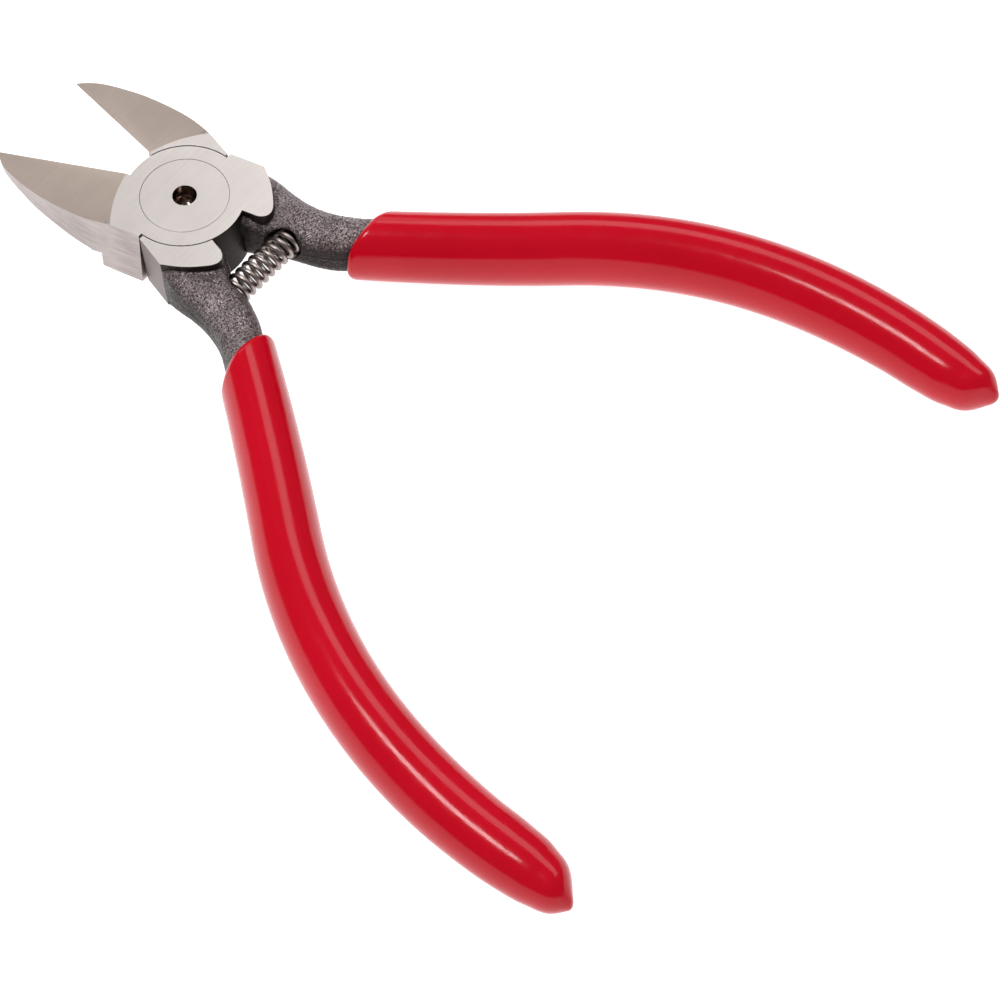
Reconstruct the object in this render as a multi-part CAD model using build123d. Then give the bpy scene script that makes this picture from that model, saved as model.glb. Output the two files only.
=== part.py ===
"""Sprue nippers: lap-jointed side cutters with a coil return spring and dipped grips.

Frame: the origin is on the pivot axis at the rear face of the joint. +Z points to the front
face, +Y to the blade tips and -Y to the grips. The levers are drawn half-open angle each side
of the Y axis, where the return spring holds them.

Each lever is modelled closed, with its blade on -X and its handle on +X. The front lever has the
front half of the lap joint. The rear lever is mirrored and has the rear half, and both blades
are ground flush on the front.
"""

import os
from math import cos, hypot, radians, sin, tan

from build123d import *

# Joint
JOINT_THICKNESS = 8.9
MID_Z = JOINT_THICKNESS / 2
LAP_CLEARANCE = 0.02          # each lap face stands this far off the mid plane
DISC_RADIUS = 7.7
DISC_CLEARANCE = 0.14         # radial gap between a lap disc and the other lever
HALF_OPEN = 14.9              # degrees that each lever is turned from closed
STOP_GAP = 0.18               # half the gap left at the open stop

# Rivet, ground flush on both faces
RIVET_HEAD_RADIUS = 5.64
RIVET_SHAFT_RADIUS = 3.0
RIVET_HEAD_DEPTH = 1.9
RIVET_CLEARANCE = 0.05
RECESS_RADIUS = 1.55
RECESS_DEPTH = 1.3

# Blade, with the outline of its back at the height of the joint's front face
TIP_Y = 27.9
TIP_EDGE_Z = 2.85
EDGE_START_Y = 8.3
EDGE_FALL = (JOINT_THICKNESS - TIP_EDGE_Z) / (TIP_Y - EDGE_START_Y)
EDGE_CLEARANCE = 0.03         # keeps the two closed edges just apart
BLADE_BORDER_RADIUS = 17.0    # the arc where the polished joint face ends
BLADE_BACK = [
    (1.6, 28.3), (0.37, 27.55), (-1.0, 26.45), (-2.4, 24.65), (-3.7, 22.15), (-4.95, 19.4),
    (-5.95, 16.5), (-6.95, 13.0), (-7.5, 10.3), (-7.75, 7.8), (-7.85, 5.5),
]
FLANK_DRAFT = 5.5             # degrees that the blade's flank leans out towards the rear
BEVEL_ANGLE = 38.0
BEVEL_BASE_RADIUS = 8.6
BEVEL_BLOCK = (48.0, 24.0, 20.0)
REAR_RELIEF_Z = 2.2
REAR_RELIEF_TIP_Z = 2.75
REAR_RELIEF_Y = 8.3
REAR_FILLET = 2.4
REAR_FILLET_EASE = 0.3        # how far short of a full quarter the fillet stops at each end

# Shoulder that carries the ground stop facet
FACET_X = 8.12
FACET_END_Y = -7.1
TAB_CURVE = [
    (7.45, -7.8), (6.4, -8.8), (5.2, -9.72), (3.9, -10.5), (2.95, -10.98), (2.25, -11.12), (1.55, -10.92),
    (1.08, -10.35),
]
TAB_INNER_X = 0.9
TAB_INNER_Y = -9.3            # where the toe's curve meets the straight inner edge
SHOULDER_INNER = (5.0, -4.0)  # well inside the lap disc
FACET_GRIND = (6.0, 12.0)     # reach of the grinding behind the facet

# Centre-line of neck, tang and grip: a start point and heading, then arcs of radius and turn.
# Headings are measured from -Y and grow outwards.
NECK_START = (4.17, -6.36)
NECK_HEADING = -0.7
NECK_STRAIGHT = 8.0
HANDLE_ARCS = [(17.0, 21.1), (400.0, 3.9), (65.6, -33.2), (66.0, -23.0)]

# The lever at distances along the centre-line: half width, half thickness, corner share and
# how far its middle lies below the middle of the joint
NECK_SECTIONS = [
    (0.0, 3.9, 3.9, 0.3, 0.5),
    (3.2, 3.9, 3.85, 0.5, 0.6),
    (6.0, 3.45, 3.75, 0.8, 0.75),
    (9.5, 3.0, 3.7, 0.85, 0.9),
    (13.0, 2.75, 3.7, 0.85, 1.0),
    (17.5, 2.75, 3.65, 0.8, 1.1),
]
TANG_SECTIONS = [
    (17.5, 2.75, 3.65, 0.8, 1.1),
    (24.0, 2.6, 3.6, 0.6, 1.1),
    (48.0, 2.5, 3.4, 0.6, 0.6),
    (72.0, 2.4, 3.0, 0.6, 0.0),
    (90.0, 2.2, 2.6, 0.6, 0.0),
]

# Dipped grip along the centre-line: half width, half thickness, outward shift and the same drop
GRIP_SECTIONS = [
    (13.0, 3.95, 5.25, 0.0, 1.1),
    (35.0, 4.15, 5.5, 0.0, 0.95),
    (60.0, 4.25, 5.35, 0.0, 0.15),
    (86.0, 4.15, 4.7, 0.0, 0.0),
]
GRIP_END_SECTIONS = [
    (86.0, 4.15, 4.7, 0.0, 0.0),
    (91.0, 4.0, 4.5, 0.1, 0.0),
    (95.0, 3.5, 4.05, 0.4, 0.0),
    (98.0, 2.3, 3.0, 1.0, 0.0),
    (99.4, 0.7, 1.2, 1.6, 0.0),
]
GRIP_EDGE_OPEN_Y = -20.2      # the dip line is level across the open tool
GRIP_LIP = 1.2                # radius of the lip at the dip line

# Return spring in its two drilled seats
SPRING_Y = -12.4
SPRING_COIL_RADIUS = 1.64     # to the centre of the wire
SPRING_WIRE = 0.62
SPRING_TURNS = 10.4
SEAT_RADIUS = 2.45
SEAT_DEPTH = 3.2
SEAT_TILT = 7.5               # seat axis against the spring's axis when open
SEAT_WALL_X = 3.83            # where the seats' mouths are when open
SPRING_END_GAP = 0.5          # between the spring's end turn and the bottom of its seat

BEYOND = 160.0                # longer than the tool


def turned(shape, degrees):
    """The shape turned about the pivot axis."""
    return Rot(0, 0, degrees) * shape


def mirrored(shape):
    """The shape mirrored left to right."""
    return mirror(shape, about=Plane.YZ)


def turned_point(x, y, degrees):
    """A point of the XY plane turned about the pivot axis."""
    c = cos(radians(degrees))
    s = sin(radians(degrees))
    return (c * x - s * y, s * x + c * y)


def plate(outline, bottom, top):
    """A closed outline in the XY plane extruded between two heights."""
    return Pos(0, 0, bottom) * extrude(make_face(outline), amount=top - bottom)


def disc(radius, bottom, top):
    """An upright cylinder on the pivot axis."""
    align = (Align.CENTER, Align.CENTER, Align.MIN)
    return Pos(0, 0, bottom) * Cylinder(radius, top - bottom, align=align)


def block_beyond(x, y, x_side, y_side):
    """A block from a corner or an edge at x, y that runs past the tool on the given sides."""
    aligns = {-1: Align.MAX, 0: Align.CENTER, 1: Align.MIN}
    align = (aligns[x_side], aligns[y_side], Align.CENTER)
    return Pos(x, y, 0) * Box(BEYOND, BEYOND, BEYOND, align=align)


def centre_line():
    """Neck, tang and grip centre-line of the closed front lever."""
    x, y = NECK_START
    along = (sin(radians(NECK_HEADING)), -cos(radians(NECK_HEADING)))
    pieces = [Line((x, y), (x + NECK_STRAIGHT * along[0], y + NECK_STRAIGHT * along[1]))]
    for radius, turn in HANDLE_ARCS:
        pieces.append(JernArc(pieces[-1] @ 1, pieces[-1] % 1, radius, turn))
    return Wire([edge for piece in pieces for edge in piece.edges()])


def section_plane(line, distance, shift, drop):
    """A plane across the centre-line, with X outwards in the plane of the tool and Y up."""
    position = line.position_at(distance, position_mode=PositionMode.LENGTH)
    tangent = line.tangent_at(distance, position_mode=PositionMode.LENGTH)
    outward = Vector(-tangent.Y, tangent.X, 0)
    origin = position + outward * shift + Vector(0, 0, MID_Z - drop)
    return Plane(origin=origin, x_dir=outward, z_dir=tangent)


def lever_loft(line, sections):
    """A forged bar with rounded corners through the given sections."""
    faces = []
    for distance, half_width, half_thickness, corner, drop in sections:
        profile = RectangleRounded(2 * half_width, 2 * half_thickness, corner * half_width)
        faces.append(section_plane(line, distance, 0.0, drop) * profile)
    return loft(faces)


def blade_slope():
    """What grinding takes off above the flush blade face: a shallow cone about the joint."""
    reach = TIP_Y
    inner = (BLADE_BORDER_RADIUS, 0, JOINT_THICKNESS)
    corner = (BLADE_BORDER_RADIUS, 0, JOINT_THICKNESS + 1)
    top = (BLADE_BORDER_RADIUS + reach, 0, JOINT_THICKNESS + 1)
    outer = (BLADE_BORDER_RADIUS + reach, 0, JOINT_THICKNESS - EDGE_FALL * reach)
    profile = make_face(Polyline(inner, corner, top, outer, close=True))
    return Pos(0, EDGE_START_Y - BLADE_BORDER_RADIUS, 0) * revolve(profile, Axis.Z)


def rear_relief():
    """What is milled off the rear of the blade, with a concave fillet at its base."""
    start = (REAR_RELIEF_Y, -1)
    run = REAR_FILLET - REAR_FILLET_EASE
    rise = (REAR_RELIEF_Y, REAR_RELIEF_Z - run)
    crown = (REAR_RELIEF_Y + run, REAR_RELIEF_Z)
    end = (TIP_Y + 1, REAR_RELIEF_TIP_Z)
    outline = Line(start, rise) + RadiusArc(rise, crown, REAR_FILLET)
    outline += Polyline(crown, end, (end[0], start[1]), start)
    return Plane.YZ * extrude(make_face(outline), amount=2 * DISC_RADIUS, both=True)


def rear_bevel():
    """The bevel behind the cutting edge, stopped at the joint."""
    along = Vector(0, 1, -EDGE_FALL).normalized()
    outward = Vector(-cos(radians(BEVEL_ANGLE)), 0, -sin(radians(BEVEL_ANGLE)))
    origin = Vector(0, EDGE_START_Y, JOINT_THICKNESS)
    plane = Plane(origin=origin, x_dir=along, z_dir=along.cross(outward))
    below = plane * Box(*BEVEL_BLOCK, align=(Align.CENTER, Align.CENTER, Align.MAX))
    joint_side = block_beyond(0, EDGE_START_Y, 0, -1)
    return below - joint_side - disc(BEVEL_BASE_RADIUS, -1, JOINT_THICKNESS + 1)


def pushed_out(points, distance):
    """An open row of points, each pushed to the right of the way the row runs."""
    result = []
    for index, (x, y) in enumerate(points):
        before = points[max(index - 1, 0)]
        after = points[min(index + 1, len(points) - 1)]
        along_x = after[0] - before[0]
        along_y = after[1] - before[1]
        scale = distance / hypot(along_x, along_y)
        result.append((x + scale * along_y, y - scale * along_x))
    return result


def blade_outline(height):
    """The jaw's outline at a height: its back leans out from the front face to the rear."""
    lean = (JOINT_THICKNESS - height) * tan(radians(FLANK_DRAFT))
    back = pushed_out(BLADE_BACK, lean)
    corners = [back[-1], (back[-1][0] - 0.1, -2), (4, -2), (4, back[0][1]), back[0]]
    return Pos(0, 0, height) * make_face(Spline(back) + Polyline(corners))


def blade():
    """The jaw on -X, full thickness at the joint and ground down to the tip."""
    jaw = loft([blade_outline(0), blade_outline(JOINT_THICKNESS)], ruled=True)
    own_side = block_beyond(-EDGE_CLEARANCE, 0, -1, 0)
    above_stop = block_beyond(0, STOP_GAP, 0, 1)
    jaw = jaw & own_side & turned(above_stop, -HALF_OPEN)
    return jaw - blade_slope() - rear_relief() - rear_bevel()


def shoulder():
    """The block behind the joint on +X, with the ground facet that meets the other jaw."""
    inner_x, inner_y = SHOULDER_INNER
    stop_in = turned_point(inner_x, -STOP_GAP, -HALF_OPEN)
    stop_out = turned_point(FACET_X / cos(radians(HALF_OPEN)), -STOP_GAP, -HALF_OPEN)
    facet_top = (FACET_X, stop_out[1])
    facet_end = (FACET_X, FACET_END_Y)
    outline = Polyline(stop_in, facet_top, facet_end)
    inner_edge = (TAB_INNER_X, TAB_INNER_Y)
    outline += Spline([facet_end] + TAB_CURVE + [inner_edge])
    outline += Polyline(inner_edge, (TAB_INNER_X, inner_y), stop_in)
    return plate(outline, 0, JOINT_THICKNESS)


def rivet_solid(clearance=0.0):
    """The rivet's body: a shaft between two countersunk heads, ground flush."""
    head = RIVET_HEAD_RADIUS + clearance
    shaft = RIVET_SHAFT_RADIUS + clearance
    depth = RIVET_HEAD_DEPTH + clearance
    overrun = 1.0 if clearance else 0.0
    top = JOINT_THICKNESS
    points = [
        (0, 0, -overrun), (head, 0, -overrun), (head, 0, 0.6), (shaft, 0, depth),
        (shaft, 0, top - depth), (head, 0, top - 0.6), (head, 0, top + overrun), (0, 0, top + overrun),
    ]
    return revolve(make_face(Polyline(points, close=True)), Axis.Z)


def facet_trim():
    """What grinding the facet takes off the neck behind the shoulder."""
    align = (Align.MIN, Align.MAX, Align.CENTER)
    return Pos(FACET_X, FACET_END_Y, 0) * Box(*FACET_GRIND, BEYOND, align=align)


def seat_cut():
    """The drilled seat for the spring in the closed front lever."""
    open_mouth = Pos(SEAT_WALL_X, SPRING_Y, MID_Z) * Rot(0, 0, SEAT_TILT) * Rot(0, 90, 0)
    return turned(open_mouth * Cylinder(SEAT_RADIUS, 2 * SEAT_DEPTH), -HALF_OPEN)


def lever(line, lap, other_lap, pivot_clearance):
    """One forged lever, closed, with its lap disc between the two heights in lap."""
    neck = lever_loft(line, NECK_SECTIONS) - facet_trim()
    body = blade() + shoulder() + neck
    body = body - disc(DISC_RADIUS + DISC_CLEARANCE, *other_lap)
    body = body + disc(DISC_RADIUS, *lap) + lever_loft(line, TANG_SECTIONS)
    return body - rivet_solid(pivot_clearance) - seat_cut()


def rivet():
    """The rivet, with a round-bottomed recess in the middle of the front head."""
    ball = RECESS_RADIUS * 1.05
    hole = disc(RECESS_RADIUS, JOINT_THICKNESS - RECESS_DEPTH, JOINT_THICKNESS + 1)
    bottom = Pos(0, 0, JOINT_THICKNESS - RECESS_DEPTH) * Sphere(ball)
    return rivet_solid() - hole - (bottom & disc(RECESS_RADIUS, 0, JOINT_THICKNESS))


def grip_loft(line, sections):
    """An oval bar through the given sections."""
    faces = []
    for distance, half_width, half_thickness, shift, drop in sections:
        plane = section_plane(line, distance, shift, drop)
        faces.append(plane * Ellipse(half_width, half_thickness))
    return loft(faces)


def grip(line):
    """One grip, closed: the dipped sleeve with a rounded lip and the tang's own shape inside."""
    above_dip_line = block_beyond(0, GRIP_EDGE_OPEN_Y, 0, 1)
    sleeve = grip_loft(line, GRIP_SECTIONS) + grip_loft(line, GRIP_END_SECTIONS)
    sleeve = sleeve - turned(above_dip_line, -HALF_OPEN)
    lip = sleeve.edges().sort_by(Axis.Y)[-1]
    sleeve = fillet(lip, GRIP_LIP)
    return sleeve - lever_loft(line, NECK_SECTIONS) - lever_loft(line, TANG_SECTIONS)


def spring():
    """The return spring at its open length, on an axis along X."""
    length = 2 * (SEAT_WALL_X + SEAT_DEPTH - SPRING_END_GAP) - SPRING_WIRE
    helix = Helix(length / SPRING_TURNS, length, SPRING_COIL_RADIUS)
    start = Plane(origin=helix @ 0, z_dir=helix % 0)
    wire = sweep(start * Circle(SPRING_WIRE / 2), path=helix, is_frenet=True)
    return Pos(-length / 2, SPRING_Y, MID_Z) * Rot(0, 90, 0) * wire


def main():
    line = centre_line()
    rear_lap = (-1, MID_Z - LAP_CLEARANCE)
    front_lap = (MID_Z + LAP_CLEARANCE, JOINT_THICKNESS + 1)
    front_lever = lever(line, (front_lap[0], JOINT_THICKNESS), (-1, front_lap[0]), RIVET_CLEARANCE)
    rear_lever = lever(line, (0, rear_lap[1]), (rear_lap[1], JOINT_THICKNESS + 1), 0.0)
    closed_grip = grip(line)
    nodes = {
        "front_lever": turned(front_lever, HALF_OPEN),
        "rear_lever": turned(mirrored(rear_lever), -HALF_OPEN),
        "pivot_rivet": rivet(),
        "return_spring": spring(),
        "front_grip": turned(closed_grip, HALF_OPEN),
        "rear_grip": turned(mirrored(closed_grip), -HALF_OPEN),
    }
    os.makedirs("parts", exist_ok=True)
    for name, shape in nodes.items():
        export_step(shape, f"parts/{name}.step")


if __name__ == "__main__":
    main()
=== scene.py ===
"""Sprue nippers: the looks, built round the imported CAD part."""

import math

import bmesh
import bpy
import numpy as np
from mathutils import Matrix, Vector, noise

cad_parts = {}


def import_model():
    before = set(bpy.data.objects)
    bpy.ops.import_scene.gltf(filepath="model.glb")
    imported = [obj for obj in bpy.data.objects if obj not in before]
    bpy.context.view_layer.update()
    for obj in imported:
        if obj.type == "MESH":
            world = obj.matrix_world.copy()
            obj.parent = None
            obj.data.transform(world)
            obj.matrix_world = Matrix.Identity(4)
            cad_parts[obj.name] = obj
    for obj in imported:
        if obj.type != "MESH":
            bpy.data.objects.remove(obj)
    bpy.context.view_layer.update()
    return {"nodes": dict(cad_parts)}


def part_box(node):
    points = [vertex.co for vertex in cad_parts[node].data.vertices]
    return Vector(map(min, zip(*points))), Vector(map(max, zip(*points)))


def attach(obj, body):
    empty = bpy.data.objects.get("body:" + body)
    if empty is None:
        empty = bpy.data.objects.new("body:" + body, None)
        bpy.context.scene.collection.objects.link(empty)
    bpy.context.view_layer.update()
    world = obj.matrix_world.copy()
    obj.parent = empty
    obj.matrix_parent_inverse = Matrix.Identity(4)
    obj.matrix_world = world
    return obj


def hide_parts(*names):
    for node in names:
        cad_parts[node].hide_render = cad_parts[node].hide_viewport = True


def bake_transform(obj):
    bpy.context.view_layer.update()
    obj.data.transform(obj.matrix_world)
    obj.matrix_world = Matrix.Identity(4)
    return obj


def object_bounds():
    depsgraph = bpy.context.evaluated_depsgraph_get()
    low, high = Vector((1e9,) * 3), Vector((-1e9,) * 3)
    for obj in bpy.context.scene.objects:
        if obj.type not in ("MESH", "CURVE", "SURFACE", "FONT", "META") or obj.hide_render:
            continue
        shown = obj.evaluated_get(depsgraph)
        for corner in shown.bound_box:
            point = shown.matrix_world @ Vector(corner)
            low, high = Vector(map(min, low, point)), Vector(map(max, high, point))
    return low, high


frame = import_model()

MM = 0.001

# The part's own dimensions, in millimetres and degrees, as the CAD has them
HALF_OPEN = 14.9
THICKNESS = 8.9
MID_Z = THICKNESS / 2
RECESS_RADIUS = 1.55
DISC_RADIUS = 7.7
FACET_X = 8.12
FACET_END_Y = -7.1
NECK_START = (4.17, -6.36)
NECK_HEADING = -0.7
NECK_STRAIGHT = 8.0
# radius and turn of each bend of the handle
HANDLE_ARCS = [(17.0, 21.1), (400.0, 3.9), (65.6, -33.2), (66.0, -23.0)]
# distance, half width, half thickness, outward shift, drop
GRIP_SECTIONS = [
    (13.0, 3.95, 5.25, 0.0, 1.1),
    (35.0, 4.15, 5.5, 0.0, 0.95),
    (60.0, 4.25, 5.35, 0.0, 0.15),
    (86.0, 4.15, 4.7, 0.0, 0.0),
    (91.0, 4.0, 4.5, 0.1, 0.0),
    (95.0, 3.5, 4.05, 0.4, 0.0),
    (98.0, 2.3, 3.0, 1.0, 0.0),
    (99.4, 0.7, 1.2, 1.6, 0.0),
]
DIP_LINE_Y = -20.2
LIP = 1.2
SPRING_Y = -12.4
SPRING_RADIUS = 1.64
SPRING_WIRE = 0.62
SPRING_TURNS = 10.4

# Detail that the CAD part doesn't have, in millimetres
LEVER_EDGE = 0.06
RIVET_EDGE = 0.05
# lower than the bottom of the rivet's recess
RECESS_LIMIT_Z = 5.0
SKIN_VOXEL = 0.15
SKIN_CUT_Y = -26.0
SKIN_END_Y = -23.5
SKIN_SHOULDER_X = 7.9
SKIN_JOINT_RADIUS = 8.25
SKIN_FADE = 0.3
SKIN_LIFT = 0.03
SKIN_SUNK = 0.05
LUMP_HEIGHT = 0.034
LUMPS_PER_MM = 2.4
WAVE_HEIGHT = 0.04
WAVES_PER_MM = 0.5
FLASH_Z = 3.6
FLASH_HALF_WIDTH = 0.2
FLASH_HEIGHT = 0.07
NOSE = 0.35
# how far in and forward the two rings inside the lip lie
LIP_INSIDE = [(2.6, 0.6), (1.9, 0.12)]

# Angles in degrees: nearly flat, a border between ground faces, a sharp edge, a corner to break
FLAT_ANGLE = 0.2
BORDER_ANGLE = 4
SHARP_ANGLE = 40
LEVER_CORNER = 28
RIVET_CORNER = 40

# Where the zones of the closed front lever begin, in millimetres
BLADE_FROM_Y = 7.5
FLANK_TO_X = 0.2
FLANK_FROM_Y = -1
FLANK_FOOT_Y = -2.6
# outside of the joint's disc, to the side and towards the tips
BESIDE_DISC_X = -5.5
ABOVE_DISC_Y = 7.8
# the z of a level face's normal
LEVEL = 0.97

# How fine the meshes are
LINE_STEP = 0.05
STEPS_PER_TURN = 48
WIRE_SIDES = 20
GRIP_SIDES = 144
GRIP_RINGS = 320
LIP_RINGS = 10
NOSE_RINGS = 8
# where the edge of the dip is looked for along the handle, and in how many rounds
DIP_SEARCH = (10.0, 34.0)
DIP_ROUNDS = 30
# points of the CAD's mesh closer than this, in metres, are one
MERGE_DISTANCE = 2e-6


# ---------------------------------------------------------------- helpers

def new_object(name, data):
    obj = bpy.data.objects.new(name, data)
    bpy.context.scene.collection.objects.link(obj)
    return obj


def mesh_from(name, points, faces):
    mesh = bpy.data.meshes.new(name)
    mesh.from_pydata([tuple(p) for p in points], [], faces)
    mesh.validate()
    mesh.update()
    return mesh


def smooth(mesh):
    mesh.polygons.foreach_set("use_smooth", [True] * len(mesh.polygons))


def sharpen(mesh):
    """Smooth shading, with the edges above an angle and between two ground faces kept sharp."""
    smooth(mesh)
    bm = bmesh.new()
    bm.from_mesh(mesh)
    limit = math.radians(SHARP_ANGLE)
    step = math.radians(BORDER_ANGLE)
    for edge in bm.edges:
        angle = edge.calc_face_angle(0.0) if edge.is_manifold else 0.0
        kinds = {face.material_index for face in edge.link_faces}
        border = len(kinds) == 2 and EDGE_ZONE not in kinds and angle > step
        edge.smooth = angle < limit and not border
    bm.to_mesh(mesh)
    bm.free()


def weigh_normals(obj):
    """Lets the large flat faces keep their own normals next to the broken edges."""
    weight = obj.modifiers.new("weighted", "WEIGHTED_NORMAL")
    weight.mode = "FACE_AREA"
    weight.weight = 100
    weight.keep_sharp = True


def cad_copy(node, name, materials):
    """A mesh and a bmesh of a CAD node, with whole faces instead of triangles."""
    mesh = frame["nodes"][node].data.copy()
    mesh.name = name
    mesh.materials.clear()
    for material in materials:
        mesh.materials.append(material)
    bm = bmesh.new()
    bm.from_mesh(mesh)
    bmesh.ops.remove_doubles(bm, verts=bm.verts, dist=MERGE_DISTANCE)
    flat = math.radians(FLAT_ANGLE)
    bmesh.ops.dissolve_limit(bm, angle_limit=flat, verts=bm.verts, edges=bm.edges)
    return mesh, bm


def break_edges(bm, degrees, width, material):
    """Rounds off the edges above an angle."""
    limit = math.radians(degrees)
    corners = [e for e in bm.edges if e.is_manifold and e.calc_face_angle(0.0) > limit]
    bmesh.ops.bevel(
        bm, geom=corners, offset=width * MM, offset_type="OFFSET", segments=2, profile=0.5,
        affect="EDGES", clamp_overlap=True, material=material,
    )


def steel_object(mesh, bm):
    """The finished steel piece."""
    bm.to_mesh(mesh)
    bm.free()
    obj = new_object(mesh.name, mesh)
    sharpen(mesh)
    weigh_normals(obj)
    return obj


def to_closed(points, side):
    """Points of the open tool in millimetres, in the frame of the closed front lever."""
    p = np.array(points, float) / MM
    if side < 0:
        p[:, 0] = -p[:, 0]
    a = math.radians(HALF_OPEN)
    x = p[:, 0] * math.cos(a) + p[:, 1] * math.sin(a)
    y = -p[:, 0] * math.sin(a) + p[:, 1] * math.cos(a)
    return np.stack([x, y, p[:, 2]], 1)


# ---------------------------------------------------------------- materials

class Nodes:
    """A short way to write a node material."""

    def __init__(self, name):
        self.material = bpy.data.materials.new(name)
        self.material.use_nodes = True
        self.tree = self.material.node_tree
        self.shader = self.tree.nodes["Principled BSDF"]
        self.where = self.add("ShaderNodeTexCoord").outputs["Object"]

    def add(self, kind, **values):
        node = self.tree.nodes.new(kind)
        for key, value in values.items():
            setattr(node, key, value)
        return node

    def put(self, value, socket):
        """A constant goes on the socket itself, and an output is linked to it."""
        if isinstance(value, bpy.types.NodeSocket):
            self.tree.links.new(value, socket)
        elif socket.type == "RGBA":
            socket.default_value = (*value, 1.0)
        else:
            socket.default_value = value

    def stretched(self, scale, turn):
        node = self.add("ShaderNodeMapping")
        node.inputs["Scale"].default_value = scale
        node.inputs["Rotation"].default_value = (0.0, 0.0, math.radians(turn))
        self.put(self.where, node.inputs["Vector"])
        return node.outputs["Vector"]

    def noise(self, scale, detail, rough, vector=None, distortion=0.0):
        node = self.add("ShaderNodeTexNoise")
        node.inputs["Scale"].default_value = scale
        node.inputs["Detail"].default_value = detail
        node.inputs["Roughness"].default_value = rough
        node.inputs["Distortion"].default_value = distortion
        self.put(vector or self.where, node.inputs["Vector"])
        return node.outputs["Fac"]

    def spots(self, scale):
        node = self.add("ShaderNodeTexVoronoi")
        node.inputs["Scale"].default_value = scale
        self.put(self.where, node.inputs["Vector"])
        return node.outputs["Distance"]

    def ramp(self, value, low, high, out_low=0.0, out_high=1.0):
        node = self.add("ShaderNodeMapRange")
        node.inputs["From Min"].default_value = low
        node.inputs["From Max"].default_value = high
        node.inputs["To Min"].default_value = out_low
        node.inputs["To Max"].default_value = out_high
        self.put(value, node.inputs["Value"])
        return node.outputs["Result"]

    def math(self, operation, a, b):
        node = self.add("ShaderNodeMath", operation=operation)
        self.put(a, node.inputs[0])
        self.put(b, node.inputs[1])
        return node.outputs["Value"]

    def mix(self, factor, a, b):
        node = self.add("ShaderNodeMix", data_type="RGBA")
        self.put(factor, node.inputs["Factor"])
        self.put(a, node.inputs[6])
        self.put(b, node.inputs[7])
        return node.outputs[2]

    def bump(self, height, distance, strength, normal=None):
        node = self.add("ShaderNodeBump")
        node.inputs["Distance"].default_value = distance
        node.inputs["Strength"].default_value = strength
        self.put(height, node.inputs["Height"])
        if normal is not None:
            self.put(normal, node.inputs["Normal"])
        return node.outputs["Normal"]

    def set(self, **values):
        """Sets inputs of the shader, with _ for each space in their names."""
        for key, value in values.items():
            self.put(value, self.shader.inputs[key.replace("_", " ")])


def ground_steel(name, base, wear_and_top_light, rough, lines, turn, level=False):
    """Ground steel: fine grain, faint grinding lines one way, and a little unevenness."""
    n = Nodes(name)
    stretch = (lines, lines, lines * 26) if level else (lines, lines * 26, lines)
    streaks = n.noise(1.0, 4.0, 0.65, n.stretched(stretch, turn))
    grain = n.noise(9000.0, 2.0, 0.6)
    cloud = n.noise(160.0, 3.0, 0.5)
    tone = n.math("ADD", n.ramp(streaks, 0.3, 0.7, 0.0, 0.55), n.ramp(cloud, 0.3, 0.7, 0.0, 0.45))
    n.set(Base_Color=n.mix(tone, wear_and_top_light, base), Metallic=1.0)
    n.set(Roughness=n.ramp(grain, 0.25, 0.75, rough - 0.05, rough + 0.07))
    fine = n.bump(grain, 0.000006, 0.5)
    n.set(Normal=n.bump(streaks, 0.00001, 0.5, fine))
    return n.material


def forged_steel(name):
    """Scale left by forging: brown-black with grey grain, and painted light: faces that point up are
    painted lighter and greyer.
    """
    n = Nodes(name)
    lumps = n.noise(4300.0, 4.0, 0.68, distortion=0.2)
    cloud = n.noise(260.0, 3.0, 0.5)
    split = n.add("ShaderNodeSeparateXYZ")
    n.put(n.add("ShaderNodeNewGeometry").outputs["Normal"], split.inputs["Vector"])
    # Painted light: the more a face points up, the lighter the scale's brown-black and the more grey grain
    # it gets, as if lit from above; 0.03 on the sides and below.
    wear_and_top_light = n.ramp(split.outputs["Z"], 0.1, 0.95, 0.03, 1.0)
    tone = n.math("MULTIPLY", n.ramp(lumps, 0.44, 0.62), n.ramp(cloud, 0.3, 0.7, 0.45, 1.0))
    scale = n.mix(wear_and_top_light, (0.015, 0.007, 0.006), (0.10, 0.074, 0.074))
    n.set(Base_Color=n.mix(n.math("MULTIPLY", tone, wear_and_top_light), scale, (0.74, 0.64, 0.65)))
    n.set(Metallic=0.9, Roughness=n.ramp(lumps, 0.35, 0.65, 0.46, 0.22))
    n.set(Normal=n.bump(lumps, 0.0002, 1.0))
    return n.material


def spring_wire(name):
    """Drawn spring wire, bright under a thin brownish film."""
    n = Nodes(name)
    draw = n.noise(3000.0, 3.0, 0.5)
    n.set(Base_Color=n.mix(n.ramp(draw, 0.3, 0.7), (0.32, 0.27, 0.255), (0.46, 0.4, 0.38)))
    n.set(Metallic=1.0, Roughness=n.ramp(draw, 0.3, 0.7, 0.3, 0.4))
    n.set(Normal=n.bump(draw, 0.00001, 0.4))
    return n.material


def dipped_plastic(name):
    """Glossy dip-moulded soft plastic, with slow waves, a few dust specks and faint scuffs."""
    n = Nodes(name)
    cloud = n.noise(55.0, 2.0, 0.5)
    n.set(Base_Color=n.mix(n.ramp(cloud, 0.3, 0.7), (0.56, 0.0006, 0.012), (0.64, 0.0012, 0.017)))
    scuff = n.noise(700.0, 4.0, 0.6)
    n.set(Roughness=n.ramp(scuff, 0.35, 0.75, 0.13, 0.22))
    wave = n.noise(90.0, 2.0, 0.4)
    speck = n.ramp(n.spots(420.0), 0.0, 0.06, 1.0, 0.0)
    soft = n.bump(wave, 0.0002, 0.35)
    n.set(Normal=n.bump(speck, 0.00004, 0.35, soft))
    n.set(IOR=1.43, Specular_IOR_Level=0.35)
    return n.material


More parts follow.
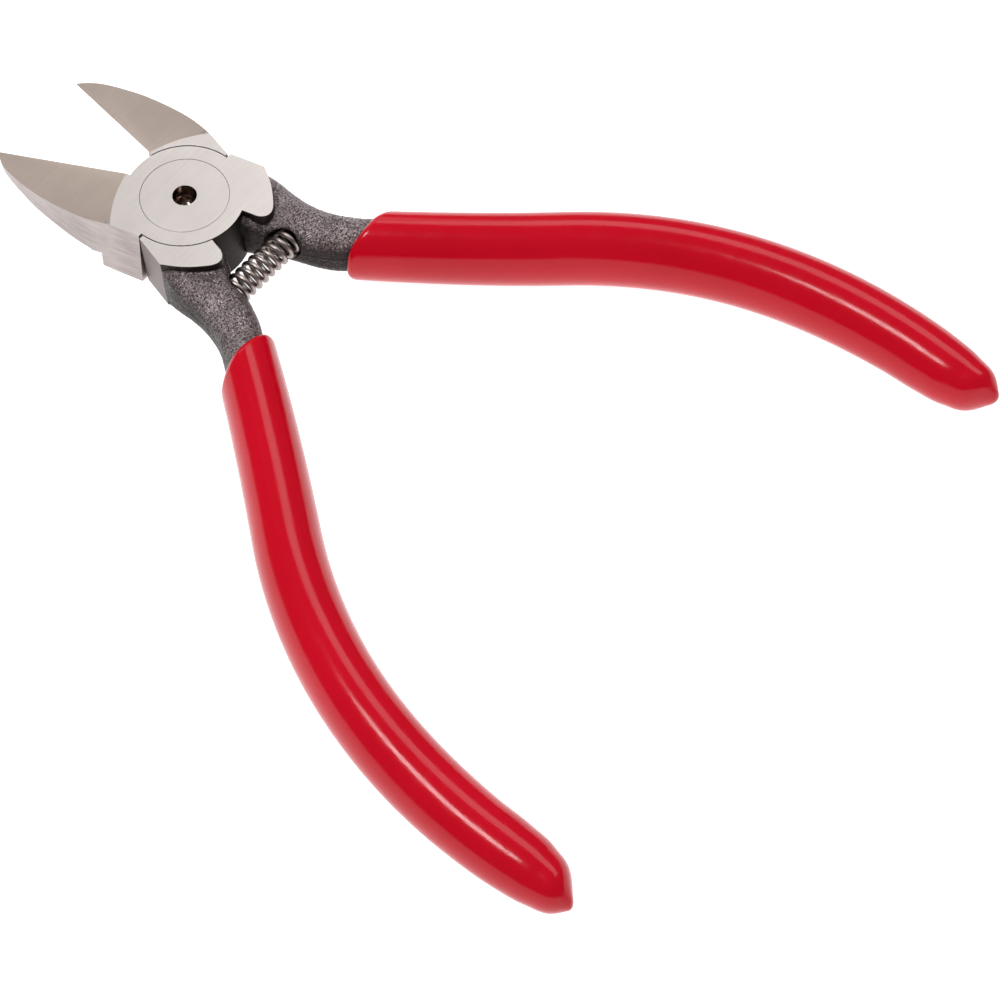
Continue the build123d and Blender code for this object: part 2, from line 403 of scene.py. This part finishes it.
# base and worn colour, roughness, then scale and turn of the grinding lines
FACE = ground_steel("ground_joint_face", (0.66, 0.61, 0.585), (0.57, 0.525, 0.5), 0.38, 160.0, 20.0)
BLADE = ground_steel("ground_blade_face", (0.57, 0.475, 0.42), (0.47, 0.39, 0.34), 0.42, 190.0, 75.0)
FLANK = ground_steel("brushed_jaw_flank", (0.56, 0.495, 0.48), (0.27, 0.235, 0.225), 0.42, 200.0, 0.0, True)
# Painted shade: the stop facet, a side wall of the same ground steel, is painted far darker than the joint
# face.
FACET = ground_steel("ground_stop_facet_painted_shade", (0.195, 0.16, 0.155), (0.16, 0.13, 0.125), 0.4, 160.0, 0.0, True)
# Painted shade: the broken edges are painted darker than the faces beside them, for dark outlines.
EDGE = ground_steel("broken_edge_painted_shade", (0.46, 0.43, 0.41), (0.3, 0.27, 0.26), 0.34, 100.0, 0.0)
# Painted shade: the rivet's recess is painted dark brown, far darker than the head.
RECESS = ground_steel("recess_painted_shade", (0.26, 0.2, 0.17), (0.12, 0.09, 0.075), 0.16, 300.0, 0.0)
FORGED = forged_steel("forged_scale_painted_top_light")
# Painted shade: the lap faces between the two halves and the joint's rim wall are painted near black, for
# the shade between the parts.
LAP = ground_steel("lap_face_painted_shade", (0.022, 0.014, 0.011), (0.013, 0.008, 0.006), 0.5, 100.0, 0.0)
WIRE = spring_wire("spring_wire")
PLASTIC = dipped_plastic("dipped_soft_plastic")
RIVET = ground_steel("ground_rivet_head", (0.655, 0.605, 0.58), (0.57, 0.525, 0.5), 0.38, 160.0, 110.0)

# The zones of a lever, in the order of their materials
LEVER_MATERIALS = [FACE, BLADE, FLANK, FACET, EDGE, FORGED, LAP]
FACE_ZONE, BLADE_ZONE, FLANK_ZONE, FACET_ZONE, EDGE_ZONE, FORGED_ZONE, LAP_ZONE = range(7)


# ---------------------------------------------------------------- levers

def zone(centre, normal):
    """Which zone a face of the closed front lever is in."""
    x, y, z = centre
    nx, _, nz = normal
    if nz > LEVEL and z > THICKNESS - 0.03:
        return FACE_ZONE
    if nz < -LEVEL and z < 0.03:
        return FACE_ZONE
    # Painted shade: the lap faces in the middle take the near-black lap material.
    if abs(nz) > LEVEL and abs(z - MID_Z) < 0.3:
        return LAP_ZONE
    if y > BLADE_FROM_Y and nz > 0.8:
        return BLADE_ZONE
    # Painted shade: the stop facet takes the darker facet material.
    if x > FACET_X - 0.05 and abs(nx) > 0.9 and y > FACET_END_Y - 0.2:
        return FACET_ZONE
    if x < FLANK_TO_X and y > FLANK_FOOT_Y and (x < BESIDE_DISC_X or y > ABOVE_DISC_Y):
        return FLANK_ZONE
    # Painted shade: the rim wall of the joint's disc, down in the crotch, takes the near-black lap
    # material.
    if math.hypot(x, y) < DISC_RADIUS + 0.25 and abs(nz) < 0.3:
        return LAP_ZONE
    if y > FLANK_FROM_Y and x < FLANK_TO_X:
        return FLANK_ZONE
    return FORGED_ZONE


def lever_piece(node, side, body):
    """The lever with broken edges, and a material for each of its zones."""
    mesh, bm = cad_copy(node, node + "_steel", LEVER_MATERIALS)
    bm.normal_update()
    turn = math.radians(HALF_OPEN)
    for face in bm.faces:
        centre = to_closed([face.calc_center_median()], side)[0]
        nx, ny, nz = face.normal
        nx *= side
        closed_nx = nx * math.cos(turn) + ny * math.sin(turn)
        closed_ny = -nx * math.sin(turn) + ny * math.cos(turn)
        face.material_index = zone(centre, (closed_nx, closed_ny, nz))
    # The broken edges take the edge material, painted darker as shade.
    break_edges(bm, LEVER_CORNER, LEVER_EDGE, EDGE_ZONE)
    obj = steel_object(mesh, bm)
    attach(obj, body)
    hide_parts(node)


def even_mesh(node):
    """The lever's joint and neck as an even, fine mesh."""
    mesh = frame["nodes"][node].data.copy()
    bm = bmesh.new()
    bm.from_mesh(mesh)
    bmesh.ops.remove_doubles(bm, verts=bm.verts, dist=MERGE_DISTANCE)
    cut = bmesh.ops.bisect_plane(
        bm, geom=bm.verts[:] + bm.edges[:] + bm.faces[:], plane_co=(0, SKIN_CUT_Y * MM, 0),
        plane_no=(0, -1, 0), clear_outer=True,
    )
    rim = [g for g in cut["geom_cut"] if isinstance(g, bmesh.types.BMEdge)]
    bmesh.ops.holes_fill(bm, edges=rim, sides=0)
    bm.to_mesh(mesh)
    bm.free()
    source = new_object("forging_source", mesh)
    remesh = source.modifiers.new("even", "REMESH")
    remesh.mode = "VOXEL"
    remesh.voxel_size = SKIN_VOXEL * MM
    depsgraph = bpy.context.evaluated_depsgraph_get()
    even = bpy.data.meshes.new_from_object(source.evaluated_get(depsgraph))
    bpy.data.objects.remove(source)
    return even


def fade(value, width):
    """0 for a value below 0, 1 for one above the width, and straight between them."""
    return np.clip(value / width, 0, 1)


def forged_skin(node, side, body):
    """The forging's lumpy scale over the neck and shoulder, just proud of the lever."""
    even = even_mesh(node)
    count = len(even.vertices)
    points = np.zeros(count * 3)
    normals = np.zeros(count * 3)
    even.vertices.foreach_get("co", points)
    even.vertices.foreach_get("normal", normals)
    points = points.reshape(-1, 3)
    normals = normals.reshape(-1, 3)
    x, y, z = to_closed(points, side).T
    # how much of the skin there is: none on the ground faces, in the joint and in the grip
    share = fade(THICKNESS - 0.06 - z, SKIN_FADE) * fade(z - 0.04, SKIN_FADE)
    share *= fade(FACET_END_Y - y, 0.4) * fade(y - SKIN_END_Y, SKIN_FADE)
    share *= np.where(y > FACET_END_Y - 0.5, fade(SKIN_SHOULDER_X - x, SKIN_FADE), 1)
    share *= fade(np.hypot(x, y) - SKIN_JOINT_RADIUS, SKIN_FADE)
    keep = share > 0
    flash = np.clip(1 - np.abs(z - FLASH_Z) / FLASH_HALF_WIDTH, 0, 1)
    flash *= (np.abs(normals[:, 2]) < 0.5) * FLASH_HEIGHT
    rise = np.zeros(count)
    for i in np.nonzero(keep)[0]:
        p = Vector(points[i]) / MM
        lump = noise.fractal(p * LUMPS_PER_MM, 1.0, 2.1, 3) * LUMP_HEIGHT
        rise[i] = lump + noise.noise(p * WAVES_PER_MM) * WAVE_HEIGHT
    height = share * (SKIN_LIFT + rise + flash) - (1 - share) * SKIN_SUNK
    moved = points + normals * (height * MM)[:, None]
    order = np.full(count, -1)
    order[keep] = np.arange(keep.sum())
    faces = [tuple(order[list(f.vertices)].tolist()) for f in even.polygons]
    faces = [face for face in faces if min(face) >= 0]
    skin = mesh_from(node + "_scale", moved[keep], faces)
    smooth(skin)
    skin.materials.append(FORGED)
    obj = new_object(node + "_scale", skin)
    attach(obj, body)


# ---------------------------------------------------------------- rivet

def rivet_piece():
    """The rivet with broken rims, and its recess painted dark as shade."""
    mesh, bm = cad_copy("pivot_rivet", "pivot_rivet_steel", [RIVET, RECESS])
    for face in bm.faces:
        c = face.calc_center_median() / MM
        # Painted shade: the faces inside the recess take the darker recess material.
        near = math.hypot(c.x, c.y) < RECESS_RADIUS + 0.05
        face.material_index = 1 if near and RECESS_LIMIT_Z < c.z < THICKNESS - 0.01 else 0
    break_edges(bm, RIVET_CORNER, RIVET_EDGE, 0)
    obj = steel_object(mesh, bm)
    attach(obj, "rear_half")
    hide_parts("pivot_rivet")


# ---------------------------------------------------------------- spring

def tube(path, radius, sides):
    """A round wire along a path of points, closed at both ends."""
    path = np.array(path, float)
    tangent = np.gradient(path, axis=0)
    tangent /= np.linalg.norm(tangent, axis=1)[:, None]
    side = np.cross(tangent[0], (0.0, 0.0, 1.0))
    side /= np.linalg.norm(side)
    points, faces = [], []
    count = len(path)
    angles = np.linspace(0, 2 * math.pi, sides, endpoint=False)
    for i in range(count):
        side = side - tangent[i] * (side @ tangent[i])
        side /= np.linalg.norm(side)
        other = np.cross(tangent[i], side)
        for a in angles:
            points.append(path[i] + radius * (math.cos(a) * side + math.sin(a) * other))
    for i in range(count - 1):
        for k in range(sides):
            m = (k + 1) % sides
            faces.append((i * sides + k, i * sides + m, (i + 1) * sides + m, (i + 1) * sides + k))
    faces.append(tuple(reversed(range(sides))))
    faces.append(tuple(range((count - 1) * sides, count * sides)))
    return points, faces


def spring_piece():
    """The return spring: a helix of round wire between its two seats."""
    low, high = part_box("return_spring")
    length = (high.x - low.x) / MM - SPRING_WIRE
    steps = int(SPRING_TURNS * STEPS_PER_TURN)
    path = []
    for i in range(steps + 1):
        t = i / steps
        a = 2 * math.pi * SPRING_TURNS * t
        x = -length / 2 + length * t
        y = SPRING_Y + SPRING_RADIUS * math.cos(a)
        z = MID_Z + SPRING_RADIUS * math.sin(a)
        path.append((x * MM, y * MM, z * MM))
    points, faces = tube(path, SPRING_WIRE / 2 * MM, WIRE_SIDES)
    mesh = mesh_from("return_spring_wire", points, faces)
    smooth(mesh)
    mesh.materials.append(WIRE)
    obj = new_object("return_spring_wire", mesh)
    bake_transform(obj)
    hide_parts("return_spring")


# ---------------------------------------------------------------- grips

def centre_line():
    """Distances, points and headings along the closed front handle, in millimetres."""
    bends = [(NECK_STRAIGHT, 0.0)]
    for radius, turn in HANDLE_ARCS:
        bends.append((radius * math.radians(abs(turn)), math.copysign(1 / radius, turn)))
    x, y = NECK_START
    heading = math.radians(NECK_HEADING)
    rows = [(0.0, x, y, heading)]
    distance = 0.0
    for length, curve in bends:
        count = round(length / LINE_STEP)
        ds = length / count
        for _ in range(count):
            heading += curve * ds / 2
            x += math.sin(heading) * ds
            y -= math.cos(heading) * ds
            heading += curve * ds / 2
            distance += ds
            rows.append((distance, x, y, heading))
    return np.array(rows)


LINE = centre_line()


def smooth_table(at, table, column):
    """A smooth curve through a table's column, by cubic pieces."""
    xs = np.array([row[0] for row in table])
    ys = np.array([row[column] for row in table])
    slope = np.gradient(ys, xs)
    at = np.clip(at, xs[0], xs[-1])
    i = np.clip(np.searchsorted(xs, at) - 1, 0, len(xs) - 2)
    h = xs[i + 1] - xs[i]
    t = (at - xs[i]) / h
    a = 2 * t**3 - 3 * t**2 + 1
    b = t**3 - 2 * t**2 + t
    c = -2 * t**3 + 3 * t**2
    d = t**3 - t**2
    return a * ys[i] + b * h * slope[i] + c * ys[i + 1] + d * h * slope[i + 1]


def grip_surface(distance, angle):
    """Points of the open front grip's surface, in millimetres."""
    x = np.interp(distance, LINE[:, 0], LINE[:, 1])
    y = np.interp(distance, LINE[:, 0], LINE[:, 2])
    heading = np.interp(distance, LINE[:, 0], LINE[:, 3])
    width = smooth_table(distance, GRIP_SECTIONS, 1)
    thick = smooth_table(distance, GRIP_SECTIONS, 2)
    shift = smooth_table(distance, GRIP_SECTIONS, 3)
    drop = smooth_table(distance, GRIP_SECTIONS, 4)
    out = shift + width * np.cos(angle)
    px = x + np.cos(heading) * out
    py = y + np.sin(heading) * out
    pz = MID_Z - drop + thick * np.sin(angle)
    a = math.radians(HALF_OPEN)
    open_x = px * math.cos(a) - py * math.sin(a)
    open_y = px * math.sin(a) + py * math.cos(a)
    return np.stack([open_x, open_y, pz], -1)


def dip_line(angles, side):
    """How far down the handle the slightly wavy edge of the dip lies, at each angle."""
    line_y = DIP_LINE_Y + 0.1 * np.sin(angles * 2 + 0.7 * side) + 0.06 * np.sin(angles * 5 + 2.0)
    low = np.full(len(angles), DIP_SEARCH[0])
    high = np.full(len(angles), DIP_SEARCH[1])
    for _ in range(DIP_ROUNDS):
        middle = (low + high) / 2
        above = grip_surface(middle, angles)[:, 1] > line_y
        low = np.where(above, middle, low)
        high = np.where(above, high, middle)
    return (low + high) / 2


def grip_piece(name, side, body):
    """One dipped sleeve: a rounded lip, the curved body and a rounded end."""
    angles = np.linspace(0, 2 * math.pi, GRIP_SIDES, endpoint=False)
    first = dip_line(angles, side)
    rim = grip_surface(first, angles)
    along = grip_surface(first + LIP, angles) - rim
    along /= np.linalg.norm(along, axis=1)[:, None]
    inward = rim.mean(axis=0)[None, :] - rim
    inward /= np.linalg.norm(inward, axis=1)[:, None]
    rings = [rim + inward * into + along * forward for into, forward in LIP_INSIDE]
    for k in range(LIP_RINGS, -1, -1):
        a = math.radians(90 * k / LIP_RINGS)
        rings.append(rim + along * (LIP * (1 - math.sin(a))) + inward * (LIP * (1 - math.cos(a))))
    start = first + LIP
    length = GRIP_SECTIONS[-1][0] - start
    for k in range(1, GRIP_RINGS + 1):
        rings.append(grip_surface(start + length * (k / GRIP_RINGS), angles))
    end, before = rings[-1], rings[-4]
    nose = end.mean(axis=0)
    ahead = nose - before.mean(axis=0)
    ahead *= NOSE / np.linalg.norm(ahead)
    for k in range(1, NOSE_RINGS):
        share = 1 - k / NOSE_RINGS
        rings.append(nose + (end - nose) * share + ahead * (1 - share**2))
    points = np.concatenate(rings + [(nose + ahead)[None, :]])
    points[:, 0] *= side
    faces = []
    for base in range(0, (len(rings) - 1) * GRIP_SIDES, GRIP_SIDES):
        for k in range(GRIP_SIDES):
            m = (k + 1) % GRIP_SIDES
            faces.append((base + k, base + m, base + GRIP_SIDES + m, base + GRIP_SIDES + k))
    base = (len(rings) - 1) * GRIP_SIDES
    for k in range(GRIP_SIDES):
        faces.append((base + k, base + (k + 1) % GRIP_SIDES, len(points) - 1))
    if side < 0:
        faces = [face[::-1] for face in faces]
    mesh = mesh_from(name + "_sleeve", points * MM, faces)
    bm = bmesh.new()
    bm.from_mesh(mesh)
    bmesh.ops.recalc_face_normals(bm, faces=bm.faces)
    bm.to_mesh(mesh)
    bm.free()
    smooth(mesh)
    mesh.materials.append(PLASTIC)
    obj = new_object(name + "_sleeve", mesh)
    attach(obj, body)
    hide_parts(name)


# ---------------------------------------------------------------- stage, light and camera

# half the floor's width and its gap below the part, in metres
FLOOR_SIZE = 1.5
FLOOR_GAP = 0.00005


def floor_piece():
    """A large pale floor that stays near white under the part."""
    low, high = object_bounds()
    size = FLOOR_SIZE
    z = low.z - FLOOR_GAP
    corners = [(-size, -size, z), (size, -size, z), (size, size, z), (-size, size, z)]
    mesh = mesh_from("floor", corners, [(0, 1, 2, 3)])
    obj = new_object("floor", mesh)
    n = Nodes("pale_floor")
    n.set(Base_Color=(0.45, 0.45, 0.45), Roughness=0.9)
    n.set(Emission_Color=(1.0, 1.0, 1.0), Emission_Strength=0.97)
    mesh.materials.append(n.material)


def soft_light(name, place, aim, width, height, power):
    data = bpy.data.lights.new(name, "AREA")
    data.shape = "RECTANGLE"
    data.size = width
    data.size_y = height
    data.energy = power
    obj = new_object(name, data)
    obj.location = place
    obj.rotation_mode = "QUATERNION"
    obj.rotation_quaternion = (Vector(aim) - Vector(place)).to_track_quat("-Z", "Y")


def world():
    """A dim room, a little brighter overhead."""
    w = bpy.data.worlds.new("studio")
    bpy.context.scene.world = w
    w.use_nodes = True
    tree = w.node_tree
    back = tree.nodes["Background"]
    where = tree.nodes.new("ShaderNodeTexCoord")
    split = tree.nodes.new("ShaderNodeSeparateXYZ")
    tree.links.new(where.outputs["Generated"], split.inputs["Vector"])
    ramp = tree.nodes.new("ShaderNodeMapRange")
    ramp.inputs["From Min"].default_value = -0.1
    ramp.inputs["From Max"].default_value = 0.9
    ramp.inputs["To Min"].default_value = 0.12
    ramp.inputs["To Max"].default_value = 0.22
    tree.links.new(split.outputs["Z"], ramp.inputs["Value"])
    tree.links.new(ramp.outputs["Result"], back.inputs["Strength"])
    back.inputs["Color"].default_value = (1.0, 0.99, 0.98, 1.0)


def camera():
    """The photo's view, from about 61 degrees above the tool's plane."""
    data = bpy.data.cameras.new("camera")
    data.lens = 90.0
    data.sensor_width = 36.0
    data.clip_start = 0.01
    data.clip_end = 10.0
    obj = new_object("camera", data)
    place = Vector((-0.12067, -0.14897, 0.26415))
    look = Vector((0.3806, 0.3089, -0.8716)).normalized()
    right = Vector((0.630, -0.777, 0.0)).normalized()
    up = right.cross(look).normalized()
    turn = Matrix((right, up, -look)).transposed()
    obj.matrix_world = Matrix.Translation(place) @ turn.to_4x4()
    bpy.context.scene.camera = obj


lever_piece("front_lever", 1, "front_half")
lever_piece("rear_lever", -1, "rear_half")
forged_skin("front_lever", 1, "front_half")
forged_skin("rear_lever", -1, "rear_half")
rivet_piece()
spring_piece()
grip_piece("front_grip", 1, "front_half")
grip_piece("rear_grip", -1, "rear_half")

world()
floor_piece()
# where each light is and what it aims at, its width, height and power
soft_light("key_softbox", (0.39, -0.05, 0.6), (0.0, -0.04, 0.0), 0.85, 0.3, 2.1)
soft_light("strip_light", (-0.27, 0.09, 0.62), (0.0, -0.05, 0.0), 0.32, 0.13, 2.4)
soft_light("back_softbox", (0.36, 0.7, 0.5), (0.0, 0.0, 0.0), 0.7, 0.45, 1.2)
camera()
bpy.context.scene.view_settings.view_transform = "Standard"
